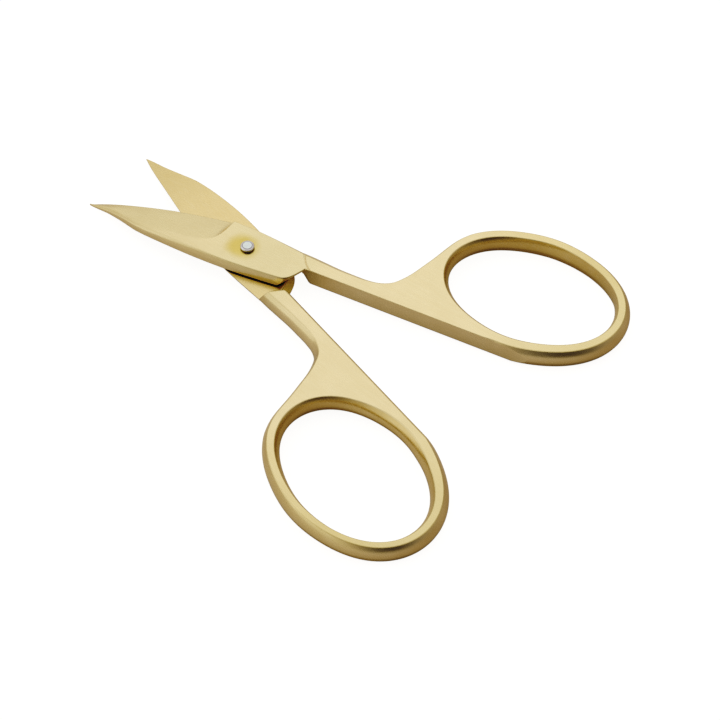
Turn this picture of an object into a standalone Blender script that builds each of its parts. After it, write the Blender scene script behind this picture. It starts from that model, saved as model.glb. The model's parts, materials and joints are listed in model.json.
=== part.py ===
"""Thread snips: two forged half-lap halves on one riveted pivot pin.

World frame: the origin is the middle of the pin's flat peened end, on the
pivot axis. +X points to the tips, +Z out of that end. Lengths in the constants
are millimetres, with heights counted from the plane where the blades meet;
the meshes are built in metres.

Both halves are the same forging, one of them turned over about X. A half is
drawn closed, with its tip on +X, its spine towards +Y and its finger loop
towards -Y. The blades of both halves curve the same way, downwards, on a
surface of revolution about the pivot axis, so their inner faces stay parallel
at every opening angle.
"""

import math

import bmesh
import bpy
from mathutils import Matrix, Vector

MM = 0.001
MERGE_DISTANCE = 1e-6      # metres
SHARP_ANGLE = 24           # degrees

# --- overall -----------------------------------------------------------------
HALF_ANGLE = 13.2          # each half's turn from closed, at rest, degrees
HANDLE_HALF_THICK = 1.92   # shank and loop run this far either side of the lap plane
LAP_GAP = 0.24             # clear gap between the two lap faces
LAP_FACE = LAP_GAP / 2
RICASSO_TOP = 1.87         # outer face of the flat round the pivot
TIP_X = 31.4

# --- blade curve -------------------------------------------------------------
CURVE_START = 5.3          # radius from the pivot where the curve begins
CURVE_RATE = 0.00462       # drop in mm per square millimetre beyond it

# --- blade plan: (x, y) knots in the lap plane, in runs from tip to heel -------
SPINE_POINT = [(20.3, 3.14), (21.1, 2.90), (23.1, 2.24), (25.1, 1.61),
               (27.1, 1.05), (29.0, 0.66), (30.4, 0.36), (TIP_X, 0.05)]
SPINE_BELLY = [(-7.3, 3.98), (-5.7, 4.12), (-3.9, 4.26), (-0.9, 4.48), (2.5, 4.62),
               (5.1, 4.64), (8.3, 4.56), (11.5, 4.34), (14.9, 3.99),
               (18.3, 3.52), (20.3, 3.14)]
SPINE_END = [(-12.4, -0.9), (-11.6, -0.5), (-11.05, 0.06), (-10.8, 0.45), (-10.38, 1.30),
             (-9.95, 2.10), (-9.35, 3.00), (-8.8, 3.52), (-8.2, 3.82), (-7.3, 3.98)]
SPINE = (SPINE_POINT, SPINE_BELLY, SPINE_END)
EDGE_CUTTING = [(5.5, -4.97), (7.95, -4.63), (11.5, -4.07), (15.0, -3.51),
                (18.1, -2.97), (22.85, -2.07), (26.6, -1.32), (29.1, -0.72), (TIP_X, -0.03)]
EDGE_HEEL = [(-9.2, -4.10), (-4.9, -4.50), (-1.1, -4.80), (2.0, -4.95), (5.5, -4.99)]
EDGE_END = [(-12.4, -3.0), (-9.8, -3.0), EDGE_HEEL[0]]
EDGE = (EDGE_CUTTING, EDGE_HEEL, EDGE_END)
# The inner border of the facet that slopes up from the edge, as (x, y).
FACET = [(4.75, -4.12), (4.9, -3.3), (5.15, -1.9), (5.6, -0.5), (6.35, 0.7),
         (7.5, 1.5), (10.0, 2.15), (15.0, 2.35), (20.3, 1.85), (25.1, 0.85),
         (29.0, 0.25), (TIP_X, 0.015)]
HEEL_FACET_WIDTH = 0.86    # width of the facet behind those knots
HEEL_FACET_GAIN = 0.34     # widening reached by the end of the run below
HEEL_FACET_RUN = 9.0       # distance behind the pivot

# --- blade section -----------------------------------------------------------
OUTER_FACE = [(-12.0, RICASSO_TOP), (6.0, RICASSO_TOP), (12.0, 1.72), (20.3, 1.28),
              (26.0, 0.85), (TIP_X, 0.42)]                       # (x, z)
ROUND_HEIGHT = 0.62        # rounding along the outer edge of the spine
ROUND_HEIGHT_SHARE = 0.66  # its largest share of the blade's thickness
ROUND_WIDTH = [(-12.0, 0.62), (4.0, 0.66), (12.0, 0.80), (20.0, 0.90), (26.0, 0.80),
               (TIP_X, 0.10)]                                    # (x, width)
ROUND_WIDTH_SHARE = 0.45   # its largest share of the blade's width
FACE_MIN = 0.02            # least width of flat between facet and rounding
FACET_BEND = (0.55, 0.62)  # bend in the facet, as shares of its width and height
EDGE_LAND = 0.10           # thickness left at the cutting edge
EDGE_LAND_MAX = 0.25       # and at most behind it
LAND_START = EDGE_CUTTING[0][0] - 0.6
LAND_RATE = 0.02           # gain per millimetre behind LAND_START
LAND_INSET = 0.03          # the land leans in by this much
# Lengths of blade between stations, as (from x, to x, steps).
BLADE_SPANS = [(-12.0, -8.0, 10), (-8.0, 4.4, 8), (4.4, 7.6, 11), (7.6, 20.3, 13),
               (20.3, 31.2, 13)]

# --- slanted end of the heel -------------------------------------------------
HEEL_CREASE = (-8.55, 1.96, LAP_FACE)    # where it meets the lap face
HEEL_BEARING = 153.0       # way it faces, degrees from +X
HEEL_SLANT = 34.8          # its lean from upright, degrees

# --- handle plan -------------------------------------------------------------
LOOP_CENTRE = (-46.56, -12.83)
LOOP_RADIUS = 12.64        # mean radius of the finger hole at its rim
LOOP_OVAL = 2.107          # its second harmonic: long along x
LOOP_SQUARE = 0.295        # its fourth harmonic: fuller ends
LOOP_SKEW = 0.063
LOOP_ARC = range(-9, -276, -4)    # bearings of the loop's outer points, degrees
HOLE_POINTS = 96
RIM_WIDTH = 1.356          # flat rim of the loop, mean
RIM_GAIN_Y = 0.378         # wider towards +Y
RIM_GAIN_X = 0.129         # wider towards +X
HOLE_BULGE = 0.76          # hole wall, crowned inwards at mid thickness
SIDE_BULGE = 0.83          # outer wall, crowned outwards, mean
SIDE_BULGE_SWING = 0.07
SIDE_FLATTEST = -30        # bearing where the outer wall is flattest, degrees
SHANK_BULGE = [(-30.0, 0.76), (-27.0, 0.72), (-24.0, 0.85), (-20.0, 1.15), (-14.0, 1.28),
               (-6.0, 1.28)]                                     # (x, bulge)
# The -Y side of the shank, from the pivot to the loop, as (x, y).
SHANK_SIDE = [(-6.5, -4.22), (-9.2, -4.06), (-10.9, -3.98), (-13.5, -3.76), (-16.0, -3.55),
              (-18.4, -3.47), (-20.9, -3.44), (-23.0, -3.65), (-24.75, -4.42),
              (-26.0, -5.93), (-26.95, -7.68), (-27.75, -9.68), (-28.5, -11.6),
              (-29.22, -13.4)]
SHANK_STEP = 1.15          # spacing of outline points along that side
CLOSING_Y = 0.95           # +Y side of the outline, before the flat is ground
CLOSING_SHARES = (0.1, 0.35, 0.7, 1.0)   # its points, from the loop to the pivot
CLOSING_BULGE = 0.9
WALL_LEVELS = (-1.0, -0.82, -0.6, -0.3, 0.0, 0.3, 0.6, 0.82, 1.0)   # of the half thickness
HOLE_FLARE_LEVEL = 1.25    # level of the hole cutter's ends

# --- shoulder: (x, y) outlines with matching points ----------------------------
SHOULDER = [(-12.6, 1.40), (-11.75, 0.45), (-11.22, -0.08), (-10.5, -0.36), (-9.90, -0.75),
            (-9.42, -1.40), (-9.12, -2.20), (-8.98, -3.10), (-8.97, -4.10), (-9.0, -5.40)]
NOTCH = [(-11.2, 1.40), (-10.62, 0.55), (-10.38, 0.06), (-10.16, -0.36), (-9.86, -0.75),
         (-9.42, -1.40), (-9.12, -2.20), (-8.98, -3.10), (-8.97, -4.10), (-9.0, -5.40)]
GRIND_LINE = [(-12.2, 1.40), (-11.7, 0.45), (-11.35, 0.02), (-10.75, -0.50), (-10.2, -1.05),
              (-9.75, -1.75), (-9.45, -2.45), (-9.32, -3.20), (-9.28, -4.10), (-9.28, -5.40)]
SHOULDER_LEAN = 0.53       # the step leans back this much per millimetre below the lap face
SHOULDER_HEIGHTS = (-2.4, -1.2, LAP_FACE)
NOTCH_BLEND = ((0.36, 0.12), (0.48, 0.75), (0.54, 1.0), (1.78, 1.0))   # (z, share of NOTCH)
GRIND_SECTIONS = ((RICASSO_TOP - 0.01, 0.0), (3.0, 0.06))              # (z, shift in x)
BLOCK_FRONT = -4.0         # x of the cutting block's tip-side end

# --- flat along the +Y side of the shank, and its lap-side corner --------------
FLAT_Y = -0.08
FLAT_FILLET = 0.65         # radius between the flat and the face at -Z
FILLET_ANGLES = (22.5, 45.0, 67.5)          # its planes' tilts down from +Y, degrees
CORNER_CENTRE = (-11.75, FLAT_Y - 0.35, -HANDLE_HALF_THICK + 0.62)
CORNER_WAY = (0.86, 0.51)                   # plan direction of the corner's planes
CORNER_CUTS = ((38.0, 0.72), (60.0, 0.66))  # (tilt in degrees, reach from the centre)

# --- pivot pin ---------------------------------------------------------------
PIVOT_HOLE_R = 1.10
PIVOT_HOLE_DEPTH = 8
PIVOT_HOLE_SEGMENTS = 48
SHAFT_R = 1.02
PEEN_R = 1.20
PEEN_TOP = 2.46            # flat of the peened end, and so the origin's height
# The peened end, from the axis out, as (radius, depth below its flat).
PEEN_PROFILE = [(0.0, 0.0), (0.80, 0.0), (0.98, 0.06), (PEEN_R - 0.06, 0.15), (PEEN_R, 0.22)]
PIN_HEAD_R = 1.95
PIN_HEAD_H = 0.55
PIN_HEAD_RIM = 0.18        # upright part of the head's height
PIN_SEAT = 0.04            # clearance under both heads
PIN_STEPS = 40


# --- curves ------------------------------------------------------------------
def along(knots, x):
    """Monotone piecewise cubic through knots given as (x, y), with x rising."""
    if x <= knots[0][0]:
        return knots[0][1]
    if x >= knots[-1][0]:
        return knots[-1][1]
    pairs = list(zip(knots, knots[1:]))
    gaps = [right[0] - left[0] for left, right in pairs]
    slopes = [(right[1] - left[1]) / gap for (left, right), gap in zip(pairs, gaps)]
    tangents = [slopes[0]] + [0.0] * (len(knots) - 2) + [slopes[-1]]
    for i in range(1, len(slopes)):
        if slopes[i - 1] * slopes[i] > 0:
            before = 2 * gaps[i] + gaps[i - 1]
            after = gaps[i] + 2 * gaps[i - 1]
            tangents[i] = (before + after) / (before / slopes[i - 1] + after / slopes[i])
    i = max(j for j in range(len(gaps)) if knots[j][0] <= x)
    t = (x - knots[i][0]) / gaps[i]
    return ((1 + 2 * t) * (1 - t) ** 2 * knots[i][1]
            + t * (1 - t) ** 2 * gaps[i] * tangents[i]
            + t * t * (3 - 2 * t) * knots[i + 1][1]
            + t * t * (t - 1) * gaps[i] * tangents[i + 1])


def along_runs(runs, x):
    """Value at x on the first run, counted from the tip, that reaches back to x."""
    return along(next(run for run in runs if x >= run[0][0]), x)


def blend(start, end, start_time, end_time, time):
    span = end_time - start_time
    return start * ((end_time - time) / span) + end * ((time - start_time) / span)


def smooth_path(knots, step):
    """Centripetal Catmull-Rom through the knots, resampled at about one step."""
    points = [Vector(knot) for knot in knots]
    points = [points[0] * 2 - points[1]] + points + [points[-1] * 2 - points[-2]]
    path = []
    for i in range(len(points) - 3):
        four = points[i:i + 4]
        times = [0.0]
        for start, end in zip(four, four[1:]):
            times.append(times[-1] + math.sqrt((end - start).length))
        count = max(1, round((four[2] - four[1]).length / step))
        for k in range(count):
            time = times[1] + (times[2] - times[1]) * k / count
            three = [blend(four[j], four[j + 1], times[j], times[j + 1], time)
                     for j in range(3)]
            two = [blend(three[j], three[j + 1], times[j], times[j + 2], time)
                   for j in range(2)]
            path.append(blend(*two, times[1], times[2], time))
    path.append(points[-2])
    return path


# --- mesh tools --------------------------------------------------------------
def to_mesh(name, bm):
    mesh = bpy.data.meshes.new(name)
    bm.to_mesh(mesh)
    bm.free()
    return mesh


def loft(name, sections):
    """Extrudes the outline of the first section through all the others and caps both ends."""
    bm = bmesh.new()
    ring = [bm.verts.new(point) for point in sections[0]]
    count = len(ring)
    edges = [bm.edges.new((ring[i], ring[(i + 1) % count])) for i in range(count)]
    bmesh.ops.contextual_create(bm, geom=edges)
    for section in sections[1:]:
        # An extruded vertex starts on its source, which gives its place in the ring.
        place = {tuple(vert.co): i for i, vert in enumerate(ring)}
        made = bmesh.ops.extrude_edge_only(bm, edges=edges)["geom"]
        ring = [None] * count
        for vert in (item for item in made if isinstance(item, bmesh.types.BMVert)):
            ring[place[tuple(vert.co)]] = vert
        edges = [item for item in made if isinstance(item, bmesh.types.BMEdge)
                 and item.verts[0] in ring and item.verts[1] in ring]
        for vert, point in zip(ring, section):
            vert.co = point
    bmesh.ops.contextual_create(bm, geom=edges)
    bmesh.ops.recalc_face_normals(bm, faces=bm.faces)
    return to_mesh(name, bm)


def shave(mesh, point, normal):
    """Planes off the side of the mesh that the normal points to, and closes the cut."""
    bm = bmesh.new()
    bm.from_mesh(mesh)
    cut = bmesh.ops.bisect_plane(
        bm, geom=list(bm.verts) + list(bm.edges) + list(bm.faces), dist=1e-7,
        plane_co=Vector(point) * MM, plane_no=Vector(normal), clear_outer=True)["geom_cut"]
    rim = [item for item in cut if isinstance(item, bmesh.types.BMEdge)]
    bmesh.ops.edgeloop_fill(bm, edges=rim)
    bmesh.ops.recalc_face_normals(bm, faces=bm.faces)
    bm.to_mesh(mesh)
    bm.free()


def helper(name, mesh, collection):
    obj = bpy.data.objects.new(name, mesh)
    collection.objects.link(obj)
    obj.hide_render = True
    obj.display_type = "WIRE"
    return obj


def boolean(obj, other, operation):
    mod = obj.modifiers.new(other.name, "BOOLEAN")
    mod.object = other
    mod.operation = operation
    mod.solver = "EXACT"


# --- blade -------------------------------------------------------------------
def blade_drop(x, y):
    if x <= 0:
        return 0.0
    return CURVE_RATE * max(0.0, math.hypot(x, y) - CURVE_START) ** 2


def facet_y(x, edge):
    if x >= FACET[0][0]:
        return along(FACET, x)
    share = min(1.0, max(0.0, -x / HEEL_FACET_RUN))
    return edge + HEEL_FACET_WIDTH + HEEL_FACET_GAIN * share


def blade_section(x, curve_sign):
    """Closed section of the blade at x: lap face, spine, outer face, edge."""
    edge = along_runs(EDGE, x)
    spine = along_runs(SPINE, x)
    top = along(OUTER_FACE, x)
    land = min(EDGE_LAND + max(0.0, LAND_START - x) * LAND_RATE, EDGE_LAND_MAX)
    land_top = LAP_FACE + land
    height = min(ROUND_HEIGHT, ROUND_HEIGHT_SHARE * (top - LAP_FACE))
    width = min(along(ROUND_WIDTH, x), ROUND_WIDTH_SHARE * (spine - edge))
    round_start = spine - width
    facet = min(facet_y(x, edge), round_start - FACE_MIN)

    points = [(edge + (spine - edge) * share, LAP_FACE) for share in (0.0, 0.25, 0.5, 0.75, 1.0)]
    for degrees in (0, 30, 60, 90):
        angle = math.radians(degrees)
        points.append((round_start + width * math.cos(angle),
                       top - height + height * math.sin(angle)))
    points.append(((facet + round_start) / 2, top))
    points.append((facet, top))
    points.append((edge + FACET_BEND[0] * (facet - edge),
                   land_top + FACET_BEND[1] * (top - land_top)))
    points.append((edge + LAND_INSET, land_top))
    return [Vector((x, y, z - curve_sign * blade_drop(x, y))) * MM for y, z in points]


def blade_mesh(name, curve_sign):
    stations = [start + (end - start) * i / steps
                for start, end, steps in BLADE_SPANS for i in range(steps)] + [TIP_X]
    blade = loft(name, [blade_section(x, curve_sign) for x in stations])
    # The heel's end is ground off at a slant, from the lap face up to the outer face.
    bearing, slant = math.radians(HEEL_BEARING), math.radians(HEEL_SLANT)
    shave(blade, HEEL_CREASE, (math.cos(bearing) * math.cos(slant),
                               math.sin(bearing) * math.cos(slant), -math.sin(slant)))
    return blade


# --- handle ------------------------------------------------------------------
def loop_rim(bearing):
    """Point on the rim of the finger hole."""
    cos, sin = math.cos, math.sin
    radius = (LOOP_RADIUS + LOOP_OVAL * cos(2 * bearing) + LOOP_SKEW * sin(2 * bearing)
              + LOOP_SQUARE * cos(4 * bearing))
    return Vector((LOOP_CENTRE[0] + radius * cos(bearing),
                   LOOP_CENTRE[1] + radius * sin(bearing)))


def loop_normal(bearing):
    """The way out from the hole into the metal."""
    along_rim = loop_rim(bearing + 1e-4) - loop_rim(bearing - 1e-4)
    return Vector((along_rim.y, -along_rim.x)).normalized()


def rim_width(bearing):
    return RIM_WIDTH + RIM_GAIN_X * math.cos(bearing) + RIM_GAIN_Y * math.sin(bearing)


def side_bulge(bearing):
    return SIDE_BULGE - SIDE_BULGE_SWING * math.cos(bearing - math.radians(SIDE_FLATTEST))


def handle_outline():
    """Mid-thickness outline of shank and loop as (point, inward normal, bulge)."""
    side = smooth_path(SHANK_SIDE, SHANK_STEP)
    bearings = [math.radians(degrees) for degrees in LOOP_ARC]
    loop = [loop_rim(a) + loop_normal(a) * (rim_width(a) + side_bulge(a)) for a in bearings]
    start, end = loop[-1].x, side[0].x
    closing = [Vector((start + (end - start) * share, CLOSING_Y)) for share in CLOSING_SHARES]
    path = side + loop + closing
    # The two points at the pivot end have no bulge.
    bulges = ([0.0] + [along(SHANK_BULGE, point.x) for point in side[1:]]
              + [side_bulge(a) for a in bearings]
              + [CLOSING_BULGE] * (len(closing) - 1) + [0.0])
    outline = []
    for i, point in enumerate(path):
        chord = path[(i + 1) % len(path)] - path[i - 1]
        outline.append((point, Vector((chord.y, -chord.x)).normalized(), bulges[i]))
    return outline


def handle_sections():
    """The wall is crowned: full at mid thickness, set in at the faces."""
    outline = handle_outline()
    return [[Vector((*(point + normal * bulge * level * level), HANDLE_HALF_THICK * level)) * MM
             for point, normal, bulge in outline] for level in WALL_LEVELS]


def hole_sections():
    """The finger hole's cutter: narrow at mid thickness, and flared past both faces."""
    bearings = [2 * math.pi * i / HOLE_POINTS for i in range(HOLE_POINTS)]
    outline = [(loop_rim(a), -loop_normal(a)) for a in bearings]
    levels = (-HOLE_FLARE_LEVEL, *WALL_LEVELS, HOLE_FLARE_LEVEL)
    return [[Vector((*(point + inward * HOLE_BULGE * (1 - level * level)),
                     HANDLE_HALF_THICK * level)) * MM
             for point, inward in outline] for level in levels]


def shoulder_sections():
    """A block in front of the shank, whose back is the curved shoulder."""
    front = [(BLOCK_FRONT, SHOULDER[-1][1]), (BLOCK_FRONT, SHOULDER[0][1])]

    def plan(back, shift, z):
        points = [(x + shift, y) for x, y in back] + front
        return [Vector((x, y, z)) * MM for x, y in points]

    sections = [plan(SHOULDER, SHOULDER_LEAN * (z - LAP_FACE), z) for z in SHOULDER_HEIGHTS]
    for z, share in NOTCH_BLEND:
        back = [Vector(low).lerp(Vector(high), share) for low, high in zip(SHOULDER, NOTCH)]
        sections.append(plan(back, 0.0, z))
    return sections + [plan(GRIND_LINE, shift, z) for z, shift in GRIND_SECTIONS]


def handle_mesh(name):
    handle = loft(name, handle_sections())
    shave(handle, (0, FLAT_Y, 0), (0, 1, 0))
    fillet_centre = Vector((0, FLAT_Y - FLAT_FILLET, -HANDLE_HALF_THICK + FLAT_FILLET))
    for degrees in FILLET_ANGLES:
        tilt = math.radians(degrees)
        normal = Vector((0, math.cos(tilt), -math.sin(tilt)))
        shave(handle, fillet_centre + normal * FLAT_FILLET, normal)
    # The same corner, rolled over where the flat meets the shoulder.
    for degrees, reach in CORNER_CUTS:
        tilt = math.radians(degrees)
        normal = Vector((math.cos(tilt) * CORNER_WAY[0], math.cos(tilt) * CORNER_WAY[1],
                         -math.sin(tilt)))
        shave(handle, Vector(CORNER_CENTRE) + normal.normalized() * reach, normal)
    return handle


# --- pieces ------------------------------------------------------------------
def pivot_hole_mesh(name):
    bm = bmesh.new()
    bmesh.ops.create_cone(bm, cap_ends=True, segments=PIVOT_HOLE_SEGMENTS,
                          radius1=PIVOT_HOLE_R * MM, radius2=PIVOT_HOLE_R * MM,
                          depth=PIVOT_HOLE_DEPTH * MM)
    return to_mesh(name, bm)


def bake(half, turned_over):
    """Replaces the blade and its modifiers with the finished forging."""
    bpy.context.view_layer.update()
    shape = bpy.data.meshes.new_from_object(
        half.evaluated_get(bpy.context.evaluated_depsgraph_get()))
    half.modifiers.clear()
    bm = bmesh.new()
    bm.from_mesh(shape)
    bmesh.ops.remove_doubles(bm, verts=bm.verts, dist=MERGE_DISTANCE)
    bmesh.ops.dissolve_degenerate(bm, edges=bm.edges, dist=MERGE_DISTANCE)
    if turned_over:
        bmesh.ops.rotate(bm, verts=bm.verts, cent=(0, 0, 0),
                         matrix=Matrix.Rotation(math.pi, 3, "X"))
    bm.to_mesh(shape)
    bm.free()
    half.data = shape
    shape.name = half.name
    shape.shade_smooth()
    shape.set_sharp_from_angle(angle=math.radians(SHARP_ANGLE))


def make_half(name, turned_over, parts, cutters, mat):
    # Turning over flips the curve, so that half is drawn with its blade curving up.
    half = bpy.data.objects.new(name, blade_mesh(name, -1.0 if turned_over else 1.0))
    parts.objects.link(half)
    half.data.materials.append(mat)

    grip = helper(name + "_handle", handle_mesh(name + "_handle"), cutters)
    for suffix, sections in (("_shoulder", shoulder_sections()),
                             ("_finger_hole", hole_sections())):
        cutter = helper(name + suffix, loft(name + suffix, sections), cutters)
        boolean(grip, cutter, "DIFFERENCE")
    boolean(half, grip, "UNION")
    hole_name = name + "_pivot_hole"
    boolean(half, helper(hole_name, pivot_hole_mesh(hole_name), cutters), "DIFFERENCE")

    bake(half, turned_over)
    half.rotation_euler = (0, 0, math.radians(-HALF_ANGLE if turned_over else HALF_ANGLE))
    half.location = (0, 0, -PEEN_TOP * MM)
    return half


def pin_profile():
    """Half profile of the pin as (radius, z), from the peened end down to the head."""
    seat = RICASSO_TOP + PIN_SEAT
    rim = -seat - PIN_HEAD_RIM
    profile = [(radius, PEEN_TOP - depth) for radius, depth in PEEN_PROFILE]
    profile += [(PEEN_R, seat), (SHAFT_R, seat), (SHAFT_R, -seat),
                (PIN_HEAD_R, -seat), (PIN_HEAD_R, rim)]
    for degrees in range(15, 90, 15):
        angle = math.radians(degrees)
        profile.append((PIN_HEAD_R * math.cos(angle),
                        rim - (PIN_HEAD_H - PIN_HEAD_RIM) * math.sin(angle)))
    return profile + [(0.0, -seat - PIN_HEAD_H)]


def make_pin(parts, mat):
    """Turned pin: a low domed head below, a plain shaft, and a peened end above."""
    bm = bmesh.new()
    verts = [bm.verts.new(Vector((radius, 0, z)) * MM) for radius, z in pin_profile()]
    for pair in zip(verts, verts[1:]):
        bm.edges.new(pair)
    pin = bpy.data.objects.new("pivot_pin", to_mesh("pivot_pin", bm))
    parts.objects.link(pin)
    pin.location = (0, 0, -PEEN_TOP * MM)
    pin.data.materials.append(mat)
    turn = pin.modifiers.new("turn", "SCREW")
    turn.axis = "Z"
    turn.angle = math.tau
    turn.steps = turn.render_steps = PIN_STEPS
    turn.use_merge_vertices = True
    turn.merge_threshold = MERGE_DISTANCE
    turn.use_smooth_shade = True
    return pin


def metal(name, colour, roughness):
    mat = bpy.data.materials.new(name)
    mat.use_nodes = True
    shader = next(n for n in mat.node_tree.nodes if n.type == "BSDF_PRINCIPLED")
    shader.inputs["Base Color"].default_value = (*colour, 1.0)
    shader.inputs["Roughness"].default_value = roughness
    shader.inputs["Metallic"].default_value = 1.0
    return mat


def main():
    for obj in list(bpy.data.objects):
        bpy.data.objects.remove(obj, do_unlink=True)
    parts = bpy.data.collections.new("thread_snips")
    cutters = bpy.data.collections.new("construction")
    for collection in (parts, cutters):
        bpy.context.scene.collection.children.link(collection)
    cutters.hide_render = True

    gold = metal("brushed_pale_gold", colour=(0.72, 0.58, 0.30), roughness=0.34)
    steel = metal("bright_steel", colour=(0.72, 0.74, 0.75), roughness=0.22)

    lower = make_half("lower_half", True, parts, cutters, gold)
    make_half("upper_half", False, parts, cutters, gold)
    pin = make_pin(parts, steel)
    # The pin is riveted to the lower half; the upper half turns about it.
    bpy.context.view_layer.update()
    pin.parent = lower
    pin.matrix_parent_inverse = lower.matrix_world.inverted()


main()
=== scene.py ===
"""Thread snips, the looks: fine meshes of both forged halves and of the rivet, satin
pale-gold and bright steel materials, a pale floor and a soft white studio.

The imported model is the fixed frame. Heights in the constants are millimetres from the
plane where the blades meet; the frame's origin is PEEN_TOP above that plane.
"""

import json
import math

import bmesh
import bpy
from mathutils import Matrix, Vector

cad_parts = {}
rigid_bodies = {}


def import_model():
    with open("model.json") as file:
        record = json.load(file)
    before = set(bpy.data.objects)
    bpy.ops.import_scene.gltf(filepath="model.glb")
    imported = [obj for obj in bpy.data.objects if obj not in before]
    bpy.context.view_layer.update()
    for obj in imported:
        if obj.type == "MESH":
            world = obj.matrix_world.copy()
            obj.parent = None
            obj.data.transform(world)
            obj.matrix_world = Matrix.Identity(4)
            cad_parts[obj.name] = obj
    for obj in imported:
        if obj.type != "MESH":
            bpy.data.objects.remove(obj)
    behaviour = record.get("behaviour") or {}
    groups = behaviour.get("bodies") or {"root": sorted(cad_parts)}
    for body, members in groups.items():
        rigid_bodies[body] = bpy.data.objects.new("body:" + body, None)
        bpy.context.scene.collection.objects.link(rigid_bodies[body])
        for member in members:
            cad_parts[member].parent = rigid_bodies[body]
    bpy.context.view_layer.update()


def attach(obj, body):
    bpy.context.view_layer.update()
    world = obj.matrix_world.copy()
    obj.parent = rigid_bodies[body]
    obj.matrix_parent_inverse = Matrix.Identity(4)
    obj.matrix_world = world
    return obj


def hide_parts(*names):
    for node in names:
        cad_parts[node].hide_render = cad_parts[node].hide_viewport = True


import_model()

MM = 0.001

# --- overall -------------------------------------------------------------------
HALF_ANGLE = 13.2
HALF_THICK = 1.92
LAP_GAP = 0.24
RICASSO_TOP = 1.87
TIP_X = 31.4
CURVE_START = 5.3
CURVE_RATE = 0.00462
CHAMFER = 0.07

# --- blade plan ------------------------------------------------------------------
SPINE_POINT = [(20.3, 3.14), (21.1, 2.90), (23.1, 2.24), (25.1, 1.61),
               (27.1, 1.05), (29.0, 0.66), (30.4, 0.36), (31.4, 0.05)]
SPINE_BELLY = [(-7.3, 3.98), (-5.7, 4.12), (-3.9, 4.26), (-0.9, 4.48), (2.5, 4.62),
               (5.1, 4.64), (8.3, 4.56), (11.5, 4.34), (14.9, 3.99),
               (18.3, 3.52), (20.3, 3.14)]
HEEL_END = [(-12.4, -0.9), (-11.6, -0.5), (-11.05, 0.06), (-10.8, 0.45), (-10.38, 1.30),
            (-9.95, 2.10), (-9.35, 3.00), (-8.8, 3.52), (-8.2, 3.82), (-7.3, 3.98)]
HEEL_CREASE = (-8.55, 1.96)
HEEL_BEARING = 153.0
HEEL_SLANT = 38.5
EDGE = [(5.5, -4.97), (7.95, -4.63), (11.5, -4.07), (15.0, -3.51),
        (18.1, -2.97), (22.85, -2.07), (26.6, -1.32), (29.1, -0.72), (31.4, -0.03)]
EDGE_HEEL = [(-9.2, -4.10), (-4.9, -4.50), (-1.1, -4.80), (2.0, -4.95), (5.5, -4.99)]
FACET_Y = [(4.75, -4.12), (4.9, -3.3), (5.15, -1.9), (5.6, -0.5), (6.35, 0.7),
           (7.5, 1.5), (10.0, 2.15), (15.0, 2.35), (20.3, 1.85), (25.1, 0.85),
           (29.0, 0.25), (31.4, 0.015)]
TOP_Z = [(-12.0, 1.87), (6.0, 1.87), (12.0, 1.72), (20.3, 1.28), (26.0, 0.85),
         (31.4, 0.42)]
SPINE_BARREL = 32.0
SPINE_TURN = 0.16
SPINE_WIDE = [(-12.0, 0.62), (4.0, 0.66), (12.0, 0.80), (20.0, 0.90), (26.0, 0.80),
              (31.4, 0.10)]
EDGE_LAND = 0.10

# --- handle plan -------------------------------------------------------------------
LOOP_CENTRE = (-46.56, -12.83)
LOOP_RADIUS = 12.64
LOOP_OVAL = 2.107
LOOP_SQUARE = 0.295
LOOP_SKEW = 0.063
RIM_WIDTH = 1.356
RIM_WIDE_SIDE = 0.378
RIM_WIDE_WEB = 0.129
# how far the finger hole's wall stands in at mid thickness, at the outer face and at the lap
# side, by the angle round the loop
HOLE_MID = [(-180, 0.60), (-169, 0.52), (-154, 0.36), (-139, 0.36), (-124, 0.50), (-105, 0.66),
            (-85, 0.77), (0, 0.78), (105, 0.76), (127, 0.63), (157, 0.62), (180, 0.60)]
HOLE_OUTER = [(-180, -0.02), (-154, 0.18), (-139, 0.26), (-110, 0.30), (-79, 0.30), (-64, 0.28),
              (-46, 0.13), (-20, 0.03), (0, -0.04), (25, -0.09), (60, -0.12), (100, -0.16),
              (130, -0.12), (160, -0.05), (180, -0.02)]
HOLE_LAP = [(-180, -0.16), (-150, -0.09), (-128, -0.06), (-113, 0.03), (-97, 0.11), (-80, 0.11),
            (-60, 0.03), (-35, -0.05), (0, 0.02), (20, 0.06), (37, 0.04), (52, -0.10),
            (70, -0.26), (90, -0.26), (112, -0.15), (130, -0.08), (165, -0.17), (180, -0.16)]
SIDE_BULGE = 0.83
SIDE_BULGE_SWING = 0.07
SHANK_BULGE = [(-30.0, 0.76), (-27.0, 0.72), (-24.0, 0.85), (-20.0, 1.15), (-14.0, 1.28),
               (-6.0, 1.28)]
SHANK_SIDE = [(-6.5, -4.22), (-9.2, -4.06), (-10.9, -3.98), (-13.5, -3.76), (-16.0, -3.55),
              (-18.4, -3.47), (-20.9, -3.44), (-23.0, -3.65), (-24.75, -4.42),
              (-26.0, -5.93), (-26.95, -7.68), (-27.75, -9.68), (-28.5, -11.6),
              (-29.22, -13.4)]
SHOULDER = [(-12.6, 1.40), (-11.75, 0.45), (-11.22, -0.08), (-10.5, -0.36), (-9.90, -0.75),
            (-9.42, -1.40), (-9.12, -2.20), (-8.98, -3.10), (-8.97, -4.10), (-9.0, -5.40)]
SHOULDER_LEAN = 0.53
NOTCH = [(-11.2, 1.40), (-10.62, 0.55), (-10.38, 0.06), (-10.16, -0.36), (-9.86, -0.75),
         (-9.42, -1.40), (-9.12, -2.20), (-8.98, -3.10), (-8.97, -4.10), (-9.0, -5.40)]
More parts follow.
